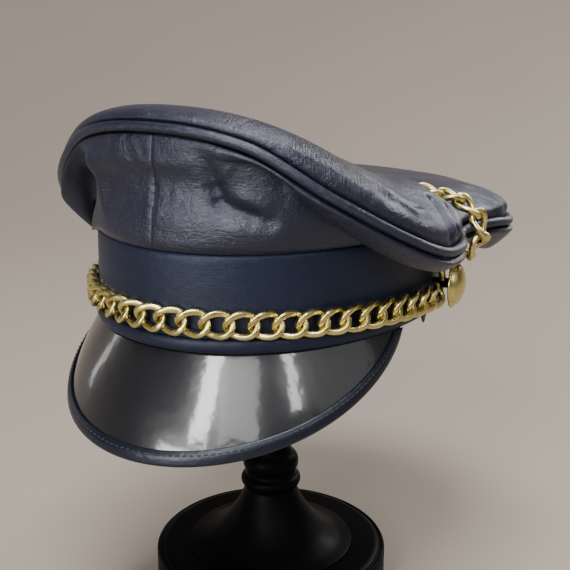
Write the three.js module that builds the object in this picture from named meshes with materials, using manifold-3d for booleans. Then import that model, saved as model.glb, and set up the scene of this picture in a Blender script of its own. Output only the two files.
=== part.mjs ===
// Leather peaked cap with two gilt curb chains, held on a plain turned stand.
// Millimetres. X is the wearer's left, Y the back of the cap, Z up.
// The origin is the centre of the underside of the stand's base.

import * as THREE from "three";
import { mergeVertices } from "three/addons/utils/BufferGeometryUtils.js";
import Module from "manifold-3d";

const wasm = await Module();
wasm.setup();

const { cos, sin, abs, min, max, hypot, exp, round, PI } = Math;
const DEGREE = PI / 180;
const HALF_TURN = 180;

// Clearance between neighbouring pieces.
const GAP = 0.3;

// Where the centre of the foot of the cap's band stands over the stand's base.
const CAP_PLACE = new THREE.Vector3(0, 5.6, 173.5);

// Turned outlines of the stand, as radius and height above the floor.
const BASE_OUTLINE = [
  { radius: 0, height: 0 },
  { radius: 62.5, height: 0 },
  { radius: 64.5, height: 1.5 },
  { radius: 64.5, height: 26.6 },
  { radius: 63.4, height: 27.8 },
  { radius: 62.2, height: 26.8 },
  { radius: 61, height: 28.2 },
  { radius: 59, height: 29 },
  { radius: 0, height: 29 },
];
const COLUMN_OUTLINE = [
  { radius: 0, height: 29.3 },
  { radius: 46, height: 29.3 },
  { radius: 45.6, height: 30 },
  { radius: 38, height: 32 },
  { radius: 31, height: 36.5 },
  { radius: 23, height: 45 },
  { radius: 17, height: 55 },
  { radius: 14, height: 62.5 },
  { radius: 16.6, height: 65.2 },
  { radius: 16.6, height: 68.2 },
  { radius: 13.2, height: 71 },
  { radius: 15.4, height: 75 },
  { radius: 15.4, height: 80 },
  { radius: 11, height: 84.5 },
  { radius: 9.5, height: 100 },
  { radius: 9.5, height: 190 },
  { radius: 0, height: 190 },
];
const PAD_OUTLINE = [
  { radius: 0, height: 190.3 },
  { radius: 22, height: 190.3 },
  { radius: 44, height: 196 },
  { radius: 53, height: 202.5 },
  { radius: 52, height: 208.5 },
  { radius: 43, height: 217.5 },
  { radius: 30, height: 224.3 },
  { radius: 15, height: 228.5 },
  { radius: 0, height: 230 },
];
const STAND_SIDES = { base: 30, column: 16, pad: 16 };

// Band: an upright oval wall, with a round welt outside its foot.
const BAND = { halfWidth: 83, halfLength: 103, height: 44.6, wall: 2.8, columns: 44 };
const WELT = { height: 6.4, proud: 1.8, steps: 2 };

// Crown, section by section round one side, from the front centre (0) to the back centre (180):
// radius and height of the piping's centre (rim, rimUp), how deep the roll under it hangs on the wearer's
// left and right, the middle of the side panel (mid, midUp), and how full the top panel swells just inside
// the piping.
const CROWN = [
  { angle: 0, rim: 100.6, rimUp: 98.6, left: 0, right: 0, mid: 103.6, midUp: 70, full: 9 },
  { angle: 25, rim: 104.4, rimUp: 92.5, left: 3, right: 0, mid: 102.6, midUp: 67, full: 6.2 },
  { angle: 45, rim: 108.2, rimUp: 70.7, left: 11, right: 7, mid: 96.5, midUp: 56, full: 5.2 },
  { angle: 62, rim: 110, rimUp: 52.6, left: 12, right: 15, mid: 92, midUp: 50, full: 3.6 },
  { angle: 75, rim: 110.2, rimUp: 42, left: 10, right: 17, mid: 90, midUp: 46.5, full: 4 },
  { angle: 86, rim: 106.4, rimUp: 39.6, left: 7.5, right: 14, mid: 88, midUp: 45.6, full: 6 },
  { angle: 94, rim: 101.4, rimUp: 39.4, left: 6, right: 8, mid: 87, midUp: 45.2, full: 8.5 },
  { angle: 100, rim: 97.8, rimUp: 40.6, left: 6, right: 6, mid: 86, midUp: 45, full: 9 },
  { angle: 106, rim: 101.2, rimUp: 41.6, left: 7, right: 7, mid: 87, midUp: 45.2, full: 10 },
  { angle: 112, rim: 111.6, rimUp: 42, left: 13, right: 13, mid: 92, midUp: 46, full: 11 },
  { angle: 119, rim: 120.8, rimUp: 40.4, left: 15, right: 15, mid: 97, midUp: 46.5, full: 12 },
  { angle: 132, rim: 121.6, rimUp: 39.8, left: 15, right: 15, mid: 102, midUp: 46.5, full: 12 },
  { angle: 155, rim: 119.5, rimUp: 41, left: 14.5, right: 14.5, mid: 105.5, midUp: 45.4, full: 11 },
  { angle: 180, rim: 118, rimUp: 42, left: 13.5, right: 13.5, mid: 107.6, midUp: 45.2, full: 11 },
];

// Angle of the notch at each side. The middle of the top panel lies level with the two notches.
const NOTCH = 102.6;

// Side panel just under the rim, three places from the lowest up. Out and drop say where it runs if it hangs
// plainly, from the piping's centre. Where it rolls under, it goes in by the share tuck of the roll's depth
// and by an inset, and down from a start by the share hang of the depth, to at most so much.
const FULL_ROLL = 6;
const LEAST_TUCK = 1.5;
const ROLL = [
  { out: 1.6, drop: 15, tuck: 1, inset: 5.5, start: 0, hang: 0.72, most: 20 },
  { out: 1.3, drop: 10, tuck: 1, inset: 0, start: 0, hang: 1, most: 20 },
  { out: 0.9, drop: 6, tuck: 0, inset: -0.8, start: 2, hang: 0.45, most: 5.6 },
];

// Swell of the side panel over the band: how far up towards its middle, and how far out.
const PUFF = { share: 0.22, out: 1.8 };

// Angles of the crown's sections round one side, with narrow steps by the recess and by the notch.
const SECTIONS = [
  { from: 0, to: 20, count: 3 },
  { from: 20, to: 45, count: 5 },
  { from: 45, to: 92, count: 6 },
  { from: 92, to: 112, count: 7 },
  { from: 112, to: 180, count: 7 },
];

// Height of the top panel along the middle of the cap, with the valley that the crown chain presses into it.
const RIDGE = [
  { along: -105, height: 111 },
  { along: -80, height: 107 },
  { along: -50, height: 89.5 },
  { along: -20, height: 78 },
  { along: 0, height: 70.4 },
  { along: 5.5, height: 68 },
  { along: 9, height: 64 },
  { along: 12.5, height: 58 },
  { along: 18, height: 55.8 },
  { along: 30, height: 56.4 },
  { along: 50, height: 58.4 },
  { along: 90, height: 56 },
  { along: 125, height: 54.5 },
];

// Leather of the crown, its piping cord, and the steps of its meshes.
const LEATHER = { wall: 1.8, piping: 2.3, underPiping: 4.4, pipingSides: 5, sideRows: 7, edgeCurve: 0.7 };

// Roll of the top panel just inside its edge: how far it leans out over the piping, and how near the edge.
const EDGE_ROLL = { out: 4.4, power: 20 };

// Rings of the top panel's mesh, as shares of the way from its middle to its edge, and the steps
// along and round it that its slope is measured over.
const TOP_RINGS = [0.08, 0.34, 0.64, 0.86, 0.97, 1];
const SLOPE_STEP = { share: 0.01, angle: 1 };

// Folds of the side panels: a groove (or with a negative depth a ridge) between two places on the panel,
// each given as an angle from the front, positive on the wearer's left, and a height.
const FOLDS = [
  { fromAngle: 13, fromHeight: 95, toAngle: 17, toHeight: 76, width: 7, depth: 2.6 },
  { fromAngle: 17, fromHeight: 76, toAngle: 31, toHeight: 57, width: 7, depth: 3.8 },
  { fromAngle: 22, fromHeight: 80, toAngle: 29, toHeight: 68, width: 8, depth: -3 },
  { fromAngle: -23, fromHeight: 78, toAngle: -20, toHeight: 62, width: 6, depth: -1.4 },
];

// Recess on the wearer's right, where the panel caves in behind a crease. The crease as heights and angles,
// then how deep the recess is, how soon it gets that deep, and the angles over which it fades out.
const CREASE = [
  { height: 47, angle: 29.2 },
  { height: 61.2, angle: 23.9 },
  { height: 72, angle: 22.1 },
  { height: 79.4, angle: 25.9 },
  { height: 86.5, angle: 31.5 },
];
const RECESS = { depth: 12, turn: 9, fadeFrom: 36, fadeTo: 64 };

// Peak: how far it sweeps round the band, its width at the middle, its outline's shape,
// its slope at the middle and how much steeper it is at the ends.
const PEAK = { sweep: 80.8, width: 52.6, bluntness: 1.93, roundness: 0.86, slope: 63.4, slopeGain: 0.6 };
const PEAK_SKIN = { wall: 1.8, bow: 1.6, columns: 24, rows: 4, end: 0.985, least: 2.2 };
const BINDING = { width: 7, wall: 1.2, lap: 0.8 };

// Curb chains: outer length and width of a link, wire across, and distance from link to link.
const FRONT_CHAIN = { length: 17, width: 13.4, wire: 2.9, pitch: 10.8 };
const FRONT_CHAIN_PLACE = { sweep: 97.5, height: 14.6, endHeight: 8.8, standOff: 3.6, endStandOff: 5.4 };
const CROWN_CHAIN = { width: 12.8, thickness: 6.2, sides: 8, steps: 44 };
const CROWN_CHAIN_PLACE = { standOff: 4.8, steps: 7, reach: 0.84 };
const LINK = { segments: 10, sides: 5, turn: 0.25, clearance: 0.2, tilt: 0.3 };

// Route of the crown chain from behind the side button up to the edge of the top panel.
const CHAIN_RISE = [
  { across: 85.6, along: 21.6, height: 16.8 },
  { across: 85.6, along: 21.6, height: 22.8 },
  { across: 89.2, along: 21.6, height: 27.4 },
  { across: 95.6, along: 21.5, height: 29 },
  { across: 101.2, along: 21.4, height: 32 },
  { across: 104.4, along: 21.2, height: 37.6 },
  { across: 104.4, along: 21, height: 44.6 },
  { across: 100, along: 20.8, height: 51 },
  { across: 92, along: 20.8, height: 56 },
];

// Side buttons, and the pointed leather tabs that hang inside the band in front of them.
const BUTTON = {
  radius: 12.5,
  rim: 1.6,
  dome: 5.5,
  domeSteps: 3,
  shank: 2.6,
  standOff: 8.4,
  sweep: 104,
  height: 11.4,
  sides: 16,
};
const TAB = { sweep: 101, width: 11, wall: 1.6, top: 14, shoulder: -3, foot: -9.5 };

const FINISH = {
  leather: { color: 0x1b1e2b, roughness: 0.5, metalness: 0 },
  patent: { color: 0x08090d, roughness: 0.12, metalness: 0 },
  gilt: { color: 0xc9a94f, roughness: 0.28, metalness: 1 },
  stand: { color: 0x0c0c0e, roughness: 0.35, metalness: 0 },
};

const clamp = (x, low, high) => min(high, max(low, x));
const mix = (a, b, t) => a + (b - a) * t;

// Smooth curve through one named column of a table, level at both ends.
function curveThrough(table, along, key) {
  const last = table.length - 1;
  const slope = (i) => {
    if (i === 0 || i === last) return 0;
    return (table[i + 1][key] - table[i - 1][key]) / (table[i + 1][along] - table[i - 1][along]);
  };
  return (at) => {
    let i = 0;
    while (i < last - 1 && at > table[i + 1][along]) i += 1;
    const span = table[i + 1][along] - table[i][along];
    const u = clamp((at - table[i][along]) / span, 0, 1);
    const rise = table[i + 1][key] - table[i][key];
    const leave = slope(i) * span - rise;
    const arrive = rise - slope(i + 1) * span;
    return table[i][key] + rise * u + u * (1 - u) * (leave * (1 - u) + arrive * u);
  };
}

const crown = {};
for (const key of ["rim", "rimUp", "left", "right", "mid", "midUp", "full"]) {
  const curve = curveThrough(CROWN, "angle", key);
  crown[key] = (angle) => curve(abs(angle));
}
const ridgeHeight = curveThrough(RIDGE, "along", "height");
const creaseAngle = curveThrough(CREASE, "height", "angle");

// Closed body through a row of closed loops of points. The last loop joins the first, unless the ends are
// closed by two tips or, as flat ends, by the outlines of the first and the last loop.
function loft(loops, { tips, ends } = {}) {
  const count = loops[0].length;
  const points = loops.flat();
  const triangles = [];
  const joined = tips || ends ? loops.length - 1 : loops.length;
  for (let i = 0; i < joined; i += 1) {
    const next = ((i + 1) % loops.length) * count;
    for (let j = 0; j < count; j += 1) {
      const k = (j + 1) % count;
      triangles.push([i * count + j, next + j, next + k], [i * count + j, next + k, i * count + k]);
    }
  }
  const far = (loops.length - 1) * count;
  if (tips) {
    points.push(...tips);
    const [near, end] = [points.length - 2, points.length - 1];
    for (let j = 0; j < count; j += 1) {
      const k = (j + 1) % count;
      triangles.push([near, j, k], [end, far + k, far + j]);
    }
  }
  if (ends) {
    for (const [a, b, c] of flatEnd(ends[0])) triangles.push([a, b, c]);
    for (const [a, b, c] of flatEnd(ends[1])) triangles.push([far + a, far + c, far + b]);
  }
  return closedGeometry(points, triangles);
}

// Geometry of a closed mesh, turned so that its faces point out.
function closedGeometry(points, triangles) {
  let volume = 0;
  for (const [a, b, c] of triangles) {
    volume += points[a].dot(new THREE.Vector3().crossVectors(points[b], points[c]));
  }
  const facing = volume > 0 ? triangles : triangles.map(([a, b, c]) => [a, c, b]);
  const geometry = new THREE.BufferGeometry();
  geometry.setAttribute("position", new THREE.Float32BufferAttribute(points.flatMap((p) => p.toArray()), 3));
  geometry.setIndex(facing.flat());
  return geometry;
}

// Triangles of a flat outline, each going round the same way as the outline does.
function flatEnd(outline) {
  const way = THREE.ShapeUtils.area(outline) > 0;
  const faces = THREE.ShapeUtils.triangulateShape([...outline], []);
  return faces.map(([a, b, c]) => {
    const same = THREE.ShapeUtils.area([outline[a], outline[b], outline[c]]) > 0 === way;
    return same ? [a, b, c] : [a, c, b];
  });
}

function turned(outline, sides) {
  const profile = outline.map(({ radius, height }) => new THREE.Vector2(radius, height));
  const geometry = new THREE.LatheGeometry(profile, sides);
  geometry.rotateX(PI / 2);
  geometry.deleteAttribute("normal");
  geometry.deleteAttribute("uv");
  const merged = mergeVertices(geometry);
  const points = [];
  const position = merged.getAttribute("position");
  for (let i = 0; i < position.count; i += 1) {
    points.push(new THREE.Vector3().fromBufferAttribute(position, i));
  }
  const triangles = [];
  const index = merged.getIndex().array;
  for (let i = 0; i < index.length; i += 3) {
    const [a, b, c] = index.slice(i, i + 3);
    if (a !== b && b !== c && c !== a) triangles.push([a, b, c]);
  }
  return closedGeometry(points, triangles);
}

function named(name, geometry, finish) {
  const mesh = new THREE.Mesh(geometry, new THREE.MeshStandardMaterial(FINISH[finish]));
  mesh.name = name;
  return mesh;
}

function mirrored(geometry) {
  const position = geometry.getAttribute("position");
  const points = [];
  for (let i = 0; i < position.count; i += 1) {
    const p = new THREE.Vector3().fromBufferAttribute(position, i);
    points.push(new THREE.Vector3(-p.x, p.y, p.z));
  }
  const index = Array.from(geometry.getIndex().array);
  const triangles = [];
  for (let i = 0; i < index.length; i += 3) triangles.push(index.slice(i, i + 3));
  return closedGeometry(points, triangles);
}

// Foot of the band at a sweep in degrees round the oval, and the direction straight out from it there.
function onBand(sweep) {
  const a = sweep * DEGREE;
  const point = new THREE.Vector3(BAND.halfWidth * sin(a), -BAND.halfLength * cos(a), 0);
  const out = new THREE.Vector3(BAND.halfLength * sin(a), -BAND.halfWidth * cos(a), 0).normalize();
  return { point, out };
}

// Radius of the band's outside in a direction given as an angle from the front.
function bandRadius(angle) {
  const a = angle * DEGREE;
  return 1 / hypot(sin(a) / BAND.halfWidth, cos(a) / BAND.halfLength);
}

// Ring round the band: its section is a list of places, each out from the band's face and up.
function bandRing(section) {
  const loops = [];
  for (let i = 0; i < BAND.columns; i += 1) {
    const { point, out } = onBand((i * 2 * HALF_TURN) / BAND.columns);
    loops.push(section.map(([off, up]) => point.clone().addScaledVector(out, off).setZ(up)));
  }
  return loft(loops);
}

function band() {
  return bandRing([
    [0, 0],
    [0, BAND.height],
    [-BAND.wall, BAND.height],
    [-BAND.wall, 0],
  ]);
}

function bandWelt() {
  const section = [
    [GAP, WELT.height],
    [GAP, 0],
  ];
  for (let i = 0; i <= WELT.steps; i += 1) {
    const a = ((i + 0.5) / (WELT.steps + 1)) * PI;
    section.push([GAP + WELT.proud * sin(a), (WELT.height / 2) * (1 - cos(a))]);
  }
  return bandRing(section);
}

// Angles of the crown's sections from the front centre to the back centre.
function sectionAngles() {
  const angles = SECTIONS.flatMap(({ from, to, count }) =>
    Array.from({ length: count }, (_, i) => mix(from, to, i / count)),
  );
  return [...angles, HALF_TURN];
}

// Angles right round the crown, from the front by the wearer's left and back again.
function roundAngles() {
  const half = sectionAngles();
  const back = half.slice(1, -1).reverse();
  return [...half, ...back.map((angle) => -angle)];
}

const polar = (angle, radius, height) =>
  new THREE.Vector3(radius * sin(angle * DEGREE), -radius * cos(angle * DEGREE), height);

const rimPoint = (angle) => polar(angle, crown.rim(angle), crown.rimUp(angle));

// Round cord swept along a closed or open row of points.
function cordLoops(points, radius, sides, closed) {
  return points.map((p, i) => {
    const before = points[closed ? (i + points.length - 1) % points.length : max(i - 1, 0)];
    const after = points[closed ? (i + 1) % points.length : min(i + 1, points.length - 1)];
    const along = after.clone().sub(before).normalize();
    const side = new THREE.Vector3().crossVectors(along, THREE.Object3D.DEFAULT_UP).normalize();
    const up = new THREE.Vector3().crossVectors(side, along);
    return Array.from({ length: sides }, (_, k) => {
      const a = (k / sides) * 2 * PI;
      return p.clone().addScaledVector(side, radius * cos(a)).addScaledVector(up, radius * sin(a));
    });
  });
}

function crownPiping() {
  const rim = roundAngles().map(rimPoint);
  return loft(cordLoops(rim, LEATHER.piping, LEATHER.pipingSides, true));
}

const topEdge = (angle) => crown.rim(angle) - LEATHER.piping - GAP;
const topMiddle = polar(NOTCH, topEdge(NOTCH), 0).setX(0);

// Point of the top panel's outside: fraction 0 is the middle of the top, 1 its edge inside the piping.
function topPoint(angle, fraction) {
  const foot = crown.rimUp(angle) + LEATHER.piping / 2;
  const near = fraction ** EDGE_ROLL.power;
  const lean = EDGE_ROLL.out * 4 * near * (1 - near);
  const p = polar(angle, topEdge(angle) * fraction + lean, 0).addScaledVector(topMiddle, 1 - fraction);
  const swell = (1 - fraction ** crown.full(angle)) ** LEATHER.edgeCurve;
  return p.setZ(mix(foot, ridgeHeight(p.y), swell));
}

// Direction straight out of the top panel, from its slopes along and across a section.
function topNormal(angle, fraction) {
  const low = topPoint(angle, max(0, fraction - SLOPE_STEP.share));
  const high = topPoint(angle, min(1, fraction + SLOPE_STEP.share));
  const left = topPoint(angle - SLOPE_STEP.angle, fraction);
  const right = topPoint(angle + SLOPE_STEP.angle, fraction);
  return new THREE.Vector3().crossVectors(high.sub(low), right.sub(left)).normalize();
}

function crownTop() {
  const angles = roundAngles();
  const outer = TOP_RINGS.map((f) => angles.map((angle) => topPoint(angle, f)));
  const inner = TOP_RINGS.map((f) =>
    angles.map((angle) => topPoint(angle, f).addScaledVector(topNormal(angle, f), -LEATHER.wall)),
  );
  const middle = topPoint(0, 0);
  const under = middle.clone().setZ(middle.z - LEATHER.wall);
  return loft([...outer, ...inner.reverse()], { tips: [middle, under] });
}

// How deep the folds press into the side panel at a place.
function foldDepth(angle, height) {
  const perDegree = BAND.halfLength * DEGREE;
  let depth = 0;
  for (const fold of FOLDS) {
    const from = new THREE.Vector2(fold.fromAngle * perDegree, fold.fromHeight);
    const line = new THREE.Vector2(fold.toAngle * perDegree, fold.toHeight).sub(from);
    const place = new THREE.Vector2(angle * perDegree, height).sub(from);
    const t = clamp(place.dot(line) / line.lengthSq(), 0, 1);
    const away = place.distanceTo(line.multiplyScalar(t));
    depth += fold.depth * exp(-((away / fold.width) ** 2));
  }
  return depth;
}

// How deep the recess behind the crease is at a place.
function recessDepth(angle, height) {
  const { smoothstep } = THREE.MathUtils;
  const behind = smoothstep(-angle - creaseAngle(height), 0, RECESS.turn);
  const ahead = 1 - smoothstep(-angle, RECESS.fadeFrom, RECESS.fadeTo);
  return RECESS.depth * behind * ahead;
}

// Outside of the side panel in one section, from the band's top up to the piping: radius and height.
function sideOutline(angle) {
  const rim = { r: crown.rim(angle), z: crown.rimUp(angle) };
  const roll = angle > 0 ? crown.left(angle) : crown.right(angle);
  const share = clamp(roll / FULL_ROLL, 0, 1);
  const depth = max(LEAST_TUCK, roll - FULL_ROLL);
  const under = ROLL.map(({ out, drop, tuck, inset, start, hang, most }) => {
    const side = mix(out, -tuck * depth - inset, share);
    const down = mix(drop, min(start + hang * roll, most), share);
    return new THREE.Vector2(rim.r + side, rim.z - down);
  });
  const foot = new THREE.Vector2(bandRadius(angle) - GAP, BAND.height + GAP);
  const middle = new THREE.Vector2(crown.mid(angle), crown.midUp(angle));
  const curve = new THREE.SplineCurve([
    foot,
    foot.clone().lerp(middle, PUFF.share).add(new THREE.Vector2(PUFF.out, 0)),
    middle,
    ...under,
    new THREE.Vector2(rim.r + GAP, rim.z - LEATHER.underPiping),
  ]);
  return curve.getSpacedPoints(LEATHER.sideRows);
}

// Section of the side panel: the outside up to the piping and the inside back down.
function sideSection(angle) {
  const outline = sideOutline(angle);
  const outward = outline.map((p, i) => {
    const before = outline[max(i - 1, 0)];
    const after = outline[min(i + 1, outline.length - 1)];
    const along = after.clone().sub(before).normalize();
    return new THREE.Vector2(along.y, -along.x);
  });
  const last = outline.length - 1;
  const outside = outline.map((p, i) => {
    const free = sin((i / last) * PI);
    const folded = p.clone().addScaledVector(outward[i], -free * foldDepth(angle, p.y));
    return folded.setX(folded.x - free * recessDepth(angle, p.y));
  });
  const inside = outside.map((p, i) => p.clone().addScaledVector(outward[i], -LEATHER.wall));
  return [...outside, ...inside.reverse()];
}

// One half of the crown's side, from the seam at the front to the seam at the back.
function crownSide(side) {
  const seam = GAP / 2 / CROWN[0].rim / DEGREE;
  const angles = sectionAngles().map((angle) => side * clamp(angle, seam, HALF_TURN - seam));
  const sections = angles.map(sideSection);
  const loops = sections.map((section, i) => section.map((p) => polar(angles[i], p.x, p.y)));
  return loft(loops, { ends: [sections[0], sections[sections.length - 1]] });
}

// One section of the peak: where it leaves the band, its directions down and out, and its width.
function peakSection(share) {
  const { point, out } = onBand(share * PEAK.sweep);
  const slope = (PEAK.slope + PEAK.slopeGain * share ** 2) * DEGREE;
  const width = PEAK.width * (1 - abs(share) ** PEAK.bluntness) ** PEAK.roundness;
  return {
    root: point.setZ(-GAP),
    down: out.clone().multiplyScalar(cos(slope)).setZ(-sin(slope)),
    face: out.clone().multiplyScalar(sin(slope)).setZ(cos(slope)),
    width: max(PEAK_SKIN.least, width),
  };
}

// Place on a peak section: so far along its width and so far above its upper face, which bows a little.
function onPeak({ root, down, face, width }, along, above) {
  const share = clamp(along / width, 0, 1);
  const bow = PEAK_SKIN.bow * 4 * share * (1 - share) * min(1, width / PEAK.width);
  return root.clone().addScaledVector(down, along).addScaledVector(face, above + bow);
}

// Body swept from end to end of the peak. The section is a list of places for one peak section.
function peakSweep(placesOf) {
  const sections = [];
  for (let i = 0; i <= PEAK_SKIN.columns; i += 1) {
    const turn = ((i / PEAK_SKIN.columns) * 2 - 1) * (PI / 2);
    sections.push(peakSection(PEAK_SKIN.end * sin(turn)));
  }
  const outlines = sections.map((section) => placesOf(section).map((p) => new THREE.Vector2(...p)));
  const loops = outlines.map((outline, i) => outline.map((p) => onPeak(sections[i], p.x, p.y)));
  return loft(loops, { ends: [outlines[0], outlines[outlines.length - 1]] });
}

function peak() {
  return peakSweep(({ width }) => {
    const edge = width - BINDING.wall - GAP;
    const upper = Array.from({ length: PEAK_SKIN.rows + 1 }, (_, i) => [(edge * i) / PEAK_SKIN.rows, 0]);
    const lower = upper.map(([along]) => [along, -PEAK_SKIN.wall]).reverse();
    return [...upper, ...lower];
  });
}

function peakBinding() {
  const { wall, lap } = BINDING;
  const top = GAP;
  const foot = -PEAK_SKIN.wall - GAP;
  return peakSweep(({ width }) => {
    const start = max(min(lap, width / 4), width - BINDING.width);
    const slot = width - wall;
    return [
      [start, top],
      [start, top + wall],
      [slot, top + wall],
      [width, top],
      [width, foot],
      [slot, foot - wall],
      [start, foot - wall],
      [start, foot],
      [slot, foot],
      [slot, top],
    ];
  });
}

// Solid from a closed geometry, for joining and cutting.
function solid(geometry) {
  return new wasm.Manifold(
    new wasm.Mesh({
      numProp: 3,
      vertProperties: new Float32Array(geometry.getAttribute("position").array),
      triVerts: new Uint32Array(geometry.getIndex().array),
    }),
  );
}

function solidGeometry(shape) {
  const { vertProperties, triVerts } = shape.getMesh();
  const geometry = new THREE.BufferGeometry();
  geometry.setAttribute("position", new THREE.BufferAttribute(new Float32Array(vertProperties), 3));
  geometry.setIndex(new THREE.BufferAttribute(new Uint32Array(triVerts), 1));
  return geometry;
}

// One link of a curb chain, lying nearly flat in XY: an oval of wire with a twist, so that it goes over
// its neighbour on one side and under it on the other. A slight tilt closes the clearance on one side only,
// where the two links touch and hold together.
function curbLink({ length, width, wire, pitch }) {
  const reach = (length - wire) / 2;
  const half = (width - wire) / 2;
  const crossing = Math.acos(pitch / 2 / reach);
  const lift = (wire + LINK.clearance) / 2 / sin(2 * crossing);
  const height = (a) => LINK.tilt * cos(a) - lift * sin(2 * a);
  const centre = (a) => new THREE.Vector3(reach * cos(a), half * sin(a), height(a));
  const loops = [];
  for (let i = 0; i < LINK.segments; i += 1) {
    const a = ((i + 0.5) / LINK.segments) * 2 * PI;
    const along = centre(a + DEGREE).sub(centre(a - DEGREE)).normalize();
    const side = new THREE.Vector3(0, 0, 1).cross(along).normalize();
    const up = new THREE.Vector3().crossVectors(along, side);
    const loop = [];
    for (let k = 0; k < LINK.sides; k += 1) {
      const b = ((k + LINK.turn) / LINK.sides) * 2 * PI;
      loop.push(
        centre(a).addScaledVector(side, (wire / 2) * cos(b)).addScaledVector(up, (wire / 2) * sin(b)),
      );
    }
    loops.push(loop);
  }
  return loft(loops);
}

// Chain of links at even steps along a curve, each flat against an upright wall.
function chain(size, curve) {
  const total = curve.getLength();
  const count = round(total / size.pitch);
  const link = curbLink({ ...size, pitch: total / count });
  const up = new THREE.Vector3(0, 0, 1);
  let joined = null;
  for (let i = 0; i < count; i += 1) {
    const share = (i + 0.5) / count;
    const along = curve.getTangentAt(share);
    const out = new THREE.Vector3().crossVectors(along, up).normalize();
    const across = new THREE.Vector3().crossVectors(out, along);
    const place = new THREE.Matrix4().makeBasis(along, across, out).setPosition(curve.getPointAt(share));
    const piece = solid(link.clone().applyMatrix4(place));
    joined = joined ? joined.add(piece) : piece;
  }
  return solidGeometry(joined);
}

function frontChain() {
  const { sweep, height, endHeight, standOff, endStandOff } = FRONT_CHAIN_PLACE;
  const steps = BAND.columns;
  const points = [];
  for (let i = 0; i <= steps; i += 1) {
    const share = (i / steps) * 2 - 1;
    const { point, out } = onBand(share * sweep);
    const off = mix(standOff, endStandOff, share ** 4);
    points.push(point.addScaledVector(out, off).setZ(mix(height, endHeight, share ** 2)));
  }
  return chain(FRONT_CHAIN, new THREE.CatmullRomCurve3(points));
}

// Crown chain: its envelope, an oblong strand with the chain's width and thickness.
function crownChain() {
  const { standOff, steps, reach } = CROWN_CHAIN_PLACE;
  const rise = CHAIN_RISE.map((p) => new THREE.Vector3(p.across, p.along, p.height));
  const flat = [];
  for (let i = 0; i <= 2 * steps; i += 1) {
    const share = reach * (1 - i / steps);
    const p = topPoint(share < 0 ? -NOTCH : NOTCH, abs(share));
    flat.push(p.setZ(p.z + standOff));
  }
  const fall = rise.map((p) => new THREE.Vector3(-p.x, p.y, p.z)).reverse();
  const curve = new THREE.CatmullRomCurve3([...rise, ...flat, ...fall]);
  const back = new THREE.Vector3(0, 1, 0);
  const outline = Array.from({ length: CROWN_CHAIN.sides }, (_, k) => {
    const a = ((k + 0.5) / CROWN_CHAIN.sides) * 2 * PI;
    return new THREE.Vector2((CROWN_CHAIN.width / 2) * cos(a), (CROWN_CHAIN.thickness / 2) * sin(a));
  });
  const loops = [];
  for (let i = 0; i <= CROWN_CHAIN.steps; i += 1) {
    const centre = curve.getPointAt(i / CROWN_CHAIN.steps);
    const along = curve.getTangentAt(i / CROWN_CHAIN.steps);
    const face = new THREE.Vector3().crossVectors(back, along).normalize();
    loops.push(outline.map((p) => centre.clone().addScaledVector(back, p.x).addScaledVector(face, p.y)));
  }
  return loft(loops, { ends: [outline, outline] });
}

function button() {
  const { radius, rim, dome, domeSteps, shank, standOff, sweep, height, sides } = BUTTON;
  const outline = [
    { radius: 0, height: GAP },
    { radius: shank, height: GAP },
    { radius: shank, height: standOff },
    { radius: radius - rim / 2, height: standOff },
    { radius, height: standOff + rim / 2 },
  ];
  for (let i = 0; i < domeSteps; i += 1) {
    const a = ((i / domeSteps) * PI) / 2;
    outline.push({ radius: radius * cos(a), height: standOff + rim + dome * sin(a) });
  }
  outline.push({ radius: 0, height: standOff + rim + dome });
  const { point, out } = onBand(sweep);
  const turn = new THREE.Quaternion().setFromUnitVectors(new THREE.Vector3(0, 0, 1), out);
  return turned(outline, sides).applyQuaternion(turn).translate(point.x, point.y, height);
}

function sideTab() {
  const { sweep, width, wall, top, shoulder, foot } = TAB;
  const { point, out } = onBand(sweep);
  const across = new THREE.Vector3(-out.y, out.x, 0);
  const outline = [
    [-width / 2, top],
    [-width / 2, shoulder],
    [0, foot],
    [width / 2, shoulder],
    [width / 2, top],
  ];
  const sagitta = width ** 2 / 8 / BAND.halfWidth;
  const near = -BAND.wall - GAP - sagitta;
  const place = (off, side, up) =>
    point.clone().addScaledVector(out, off).addScaledVector(across, side).setZ(up);
  const loops = [near, near - wall].map((off) => outline.map(([side, up]) => place(off, side, up)));
  const flat = outline.map(([side, up]) => new THREE.Vector2(side, up));
  return loft(loops, { ends: [flat, flat] });
}

const stand = new THREE.Group();
stand.add(named("stand_base", turned(BASE_OUTLINE, STAND_SIDES.base), "stand"));
stand.add(named("stand_column", turned(COLUMN_OUTLINE, STAND_SIDES.column), "stand"));
stand.add(named("stand_pad", turned(PAD_OUTLINE, STAND_SIDES.pad), "stand"));

const cap = new THREE.Group();
cap.position.copy(CAP_PLACE);
cap.add(named("band", band(), "leather"));
cap.add(named("band_welt", bandWelt(), "leather"));
cap.add(named("crown_side_left", crownSide(1), "leather"));
cap.add(named("crown_side_right", crownSide(-1), "leather"));
cap.add(named("crown_top", crownTop(), "leather"));
cap.add(named("crown_piping", crownPiping(), "leather"));
cap.add(named("peak", peak(), "patent"));
cap.add(named("peak_binding", peakBinding(), "leather"));
cap.add(named("front_chain", frontChain(), "gilt"));
cap.add(named("crown_chain", crownChain(), "gilt"));
cap.add(named("button_left", button(), "gilt"));
cap.add(named("button_right", mirrored(button()), "gilt"));
cap.add(named("side_tab_left", sideTab(), "leather"));
cap.add(named("side_tab_right", mirrored(sideTab()), "leather"));

const model = new THREE.Group();
model.add(stand, cap);

export default model;
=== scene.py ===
# Looks of the leather peaked cap on its turned stand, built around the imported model.
# Sizes are in millimetres in the cap's own frame, whose origin is the centre of the foot of the band:
# X is the wearer's left, Y the back of the cap, Z up. PLACE moves them into the part's frame.

import math
from types import SimpleNamespace as Sizes

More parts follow.
